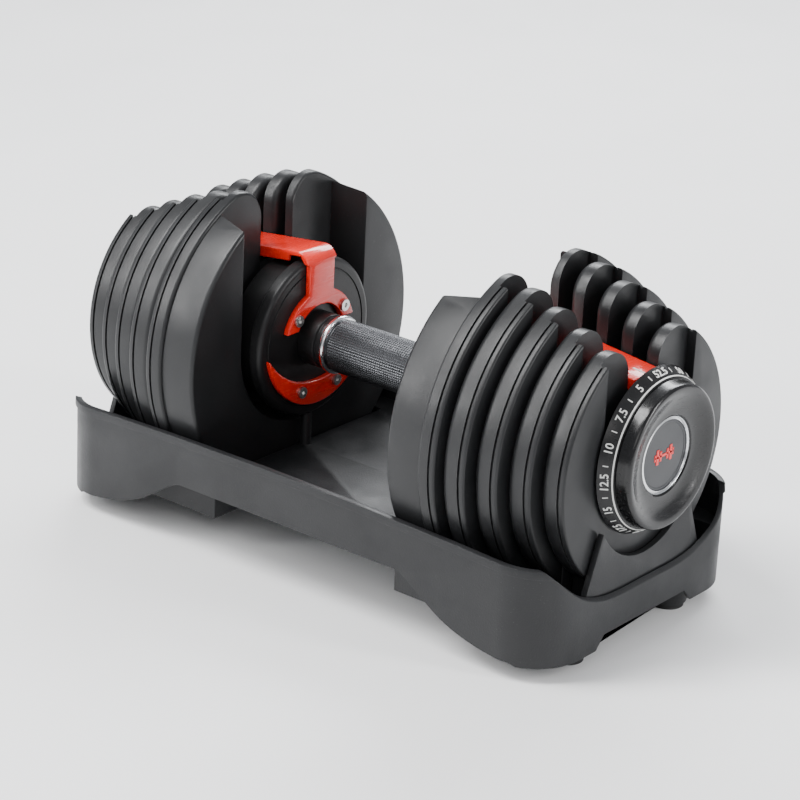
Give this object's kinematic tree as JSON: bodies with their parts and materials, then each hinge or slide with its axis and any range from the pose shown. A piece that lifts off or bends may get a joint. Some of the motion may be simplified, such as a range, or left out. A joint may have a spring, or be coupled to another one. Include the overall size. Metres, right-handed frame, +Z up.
{
  "type": "adjustable dumbbell",
  "caption": "Dial-set adjustable dumbbell with nested moulded weight plates on a knurled handle, seated in a shallow base tray",
  "frame": {"origin": "on the floor, midway between the two dials, under the handle's axis", "axes": "+X along the handle towards the right dial, +Y across it, +Z up"},
  "size_m": [0.4, 0.202, 0.2063],
  "materials": {
    "plate_moulding": "satin charcoal moulding over the plates",
    "plate_steel": "flat steel core, sealed in its moulding",
    "black_moulding": "fine-grained black moulding",
    "red_moulding": "glossy orange-red moulding",
    "gloss_black": "polished black dial",
    "number_black": "satin black cone with pale printed numbers",
    "bright_metal": "bright plated ring",
    "badge_face": "dark grey face with a plain red emblem",
    "grip_metal": "dark knurled metal grip",
    "hardware_steel": "zinc-plated steel",
    "disc_moulding": "glass-filled nylon",
    "tray_moulding": "grained dark charcoal moulding",
    "foot_rubber": "soft black rubber"
  },
  "bodies": {
    "tray": {"tray": "tray_moulding", "foot_pads": "foot_rubber", "pad_screws": "hardware_steel"},
    "handle": {"handle_tube": "hardware_steel", "grip_sleeve": "grip_metal", "grip_rings": "bright_metal", "grip_collars": "black_moulding", "hub_left": "black_moulding", "hub_right": "black_moulding", "bracket_left": "red_moulding", "bracket_right": "red_moulding", "lower_cover_left": "red_moulding", "lower_cover_right": "red_moulding", "bracket_screws": "hardware_steel", "lock_springs": "hardware_steel", "detent_balls": "hardware_steel", "detent_springs": "hardware_steel"},
    "plate_1_right": {"plate_1_shell_right": "plate_moulding", "plate_1_core_right": "plate_steel"},
    "plate_2_right": {"plate_2_shell_right": "plate_moulding", "plate_2_core_right": "plate_steel"},
    "plate_3_right": {"plate_3_shell_right": "plate_moulding", "plate_3_core_right": "plate_steel"},
    "plate_4_right": {"plate_4_shell_right": "plate_moulding", "plate_4_core_right": "plate_steel"},
    "plate_5_right": {"plate_5_shell_right": "plate_moulding", "plate_5_core_right": "plate_steel"},
    "dial_right": {"dial_knob_right": "gloss_black", "number_ring_right": "number_black", "badge_ring_right": "bright_metal", "badge_plate_right": "badge_face", "dial_axle_right": "hardware_steel", "axle_screw_right": "hardware_steel", "axle_washer_right": "hardware_steel", "detent_wheel_right": "disc_moulding", "selector_discs_right": "disc_moulding"},
    "lock_right": {"lock_pin_right": "hardware_steel"},
    "plate_1_left": {"plate_1_shell_left": "plate_moulding", "plate_1_core_left": "plate_steel"},
    "plate_2_left": {"plate_2_shell_left": "plate_moulding", "plate_2_core_left": "plate_steel"},
    "plate_3_left": {"plate_3_shell_left": "plate_moulding", "plate_3_core_left": "plate_steel"},
    "plate_4_left": {"plate_4_shell_left": "plate_moulding", "plate_4_core_left": "plate_steel"},
    "plate_5_left": {"plate_5_shell_left": "plate_moulding", "plate_5_core_left": "plate_steel"},
    "dial_left": {"dial_knob_left": "gloss_black", "number_ring_left": "number_black", "badge_ring_left": "bright_metal", "badge_plate_left": "badge_face", "dial_axle_left": "hardware_steel", "axle_screw_left": "hardware_steel", "axle_washer_left": "hardware_steel", "detent_wheel_left": "disc_moulding", "selector_discs_left": "disc_moulding"},
    "lock_left": {"lock_pin_left": "hardware_steel"}
  },
  "joints": [
    {"name": "handle_lift", "type": "slide", "parent": "tray", "child": "handle", "axis": [0, 0, 1], "range_m": [0, 0.25]},
    {"name": "plate_1_right_lift", "type": "slide", "parent": "tray", "child": "plate_1_right", "axis": [0, 0, 1], "range_m": [0, 0.25]},
    {"name": "plate_2_right_lift", "type": "slide", "parent": "tray", "child": "plate_2_right", "axis": [0, 0, 1], "range_m": [0, 0.25]},
    {"name": "plate_3_right_lift", "type": "slide", "parent": "tray", "child": "plate_3_right", "axis": [0, 0, 1], "range_m": [0, 0.25]},
    {"name": "plate_4_right_lift", "type": "slide", "parent": "tray", "child": "plate_4_right", "axis": [0, 0, 1], "range_m": [0, 0.25]},
    {"name": "plate_5_right_lift", "type": "slide", "parent": "tray", "child": "plate_5_right", "axis": [0, 0, 1], "range_m": [0, 0.25]},
    {"name": "dial_right_turn", "type": "hinge", "parent": "handle", "child": "dial_right", "pos_m": [0.19, 0, 0.116], "axis": [1, 0, 0], "continuous": true},
    {"name": "lock_right_pin", "type": "slide", "parent": "handle", "child": "lock_right", "axis": [0, 0, -1], "range_m": [0, 0.005]},
    {"name": "plate_1_left_lift", "type": "slide", "parent": "tray", "child": "plate_1_left", "axis": [0, 0, 1], "range_m": [0, 0.25]},
    {"name": "plate_2_left_lift", "type": "slide", "parent": "tray", "child": "plate_2_left", "axis": [0, 0, 1], "range_m": [0, 0.25]},
    {"name": "plate_3_left_lift", "type": "slide", "parent": "tray", "child": "plate_3_left", "axis": [0, 0, 1], "range_m": [0, 0.25]},
    {"name": "plate_4_left_lift", "type": "slide", "parent": "tray", "child": "plate_4_left", "axis": [0, 0, 1], "range_m": [0, 0.25]},
    {"name": "plate_5_left_lift", "type": "slide", "parent": "tray", "child": "plate_5_left", "axis": [0, 0, 1], "range_m": [0, 0.25]},
    {"name": "dial_left_turn", "type": "hinge", "parent": "handle", "child": "dial_left", "pos_m": [-0.19, 0, 0.116], "axis": [-1, 0, 0], "continuous": true},
    {"name": "lock_left_pin", "type": "slide", "parent": "handle", "child": "lock_left", "axis": [0, 0, -1], "range_m": [0, 0.005]}
  ],
  "couplings": [
    {"joint": "plate_1_right_lift", "follows": "handle_lift", "ratio": 1},
    {"joint": "plate_2_right_lift", "follows": "handle_lift", "ratio": 1},
    {"joint": "plate_3_right_lift", "follows": "handle_lift", "ratio": 1},
    {"joint": "plate_4_right_lift", "follows": "handle_lift", "ratio": 1},
    {"joint": "plate_5_right_lift", "follows": "handle_lift", "ratio": 1},
    {"joint": "lock_right_pin", "follows": "handle_lift", "ratio": 0.02},
    {"joint": "plate_1_left_lift", "follows": "handle_lift", "ratio": 1},
    {"joint": "plate_2_left_lift", "follows": "handle_lift", "ratio": 1},
    {"joint": "plate_3_left_lift", "follows": "handle_lift", "ratio": 1},
    {"joint": "plate_4_left_lift", "follows": "handle_lift", "ratio": 1},
    {"joint": "plate_5_left_lift", "follows": "handle_lift", "ratio": 1},
    {"joint": "lock_left_pin", "follows": "handle_lift", "ratio": 0.02}
  ]
}
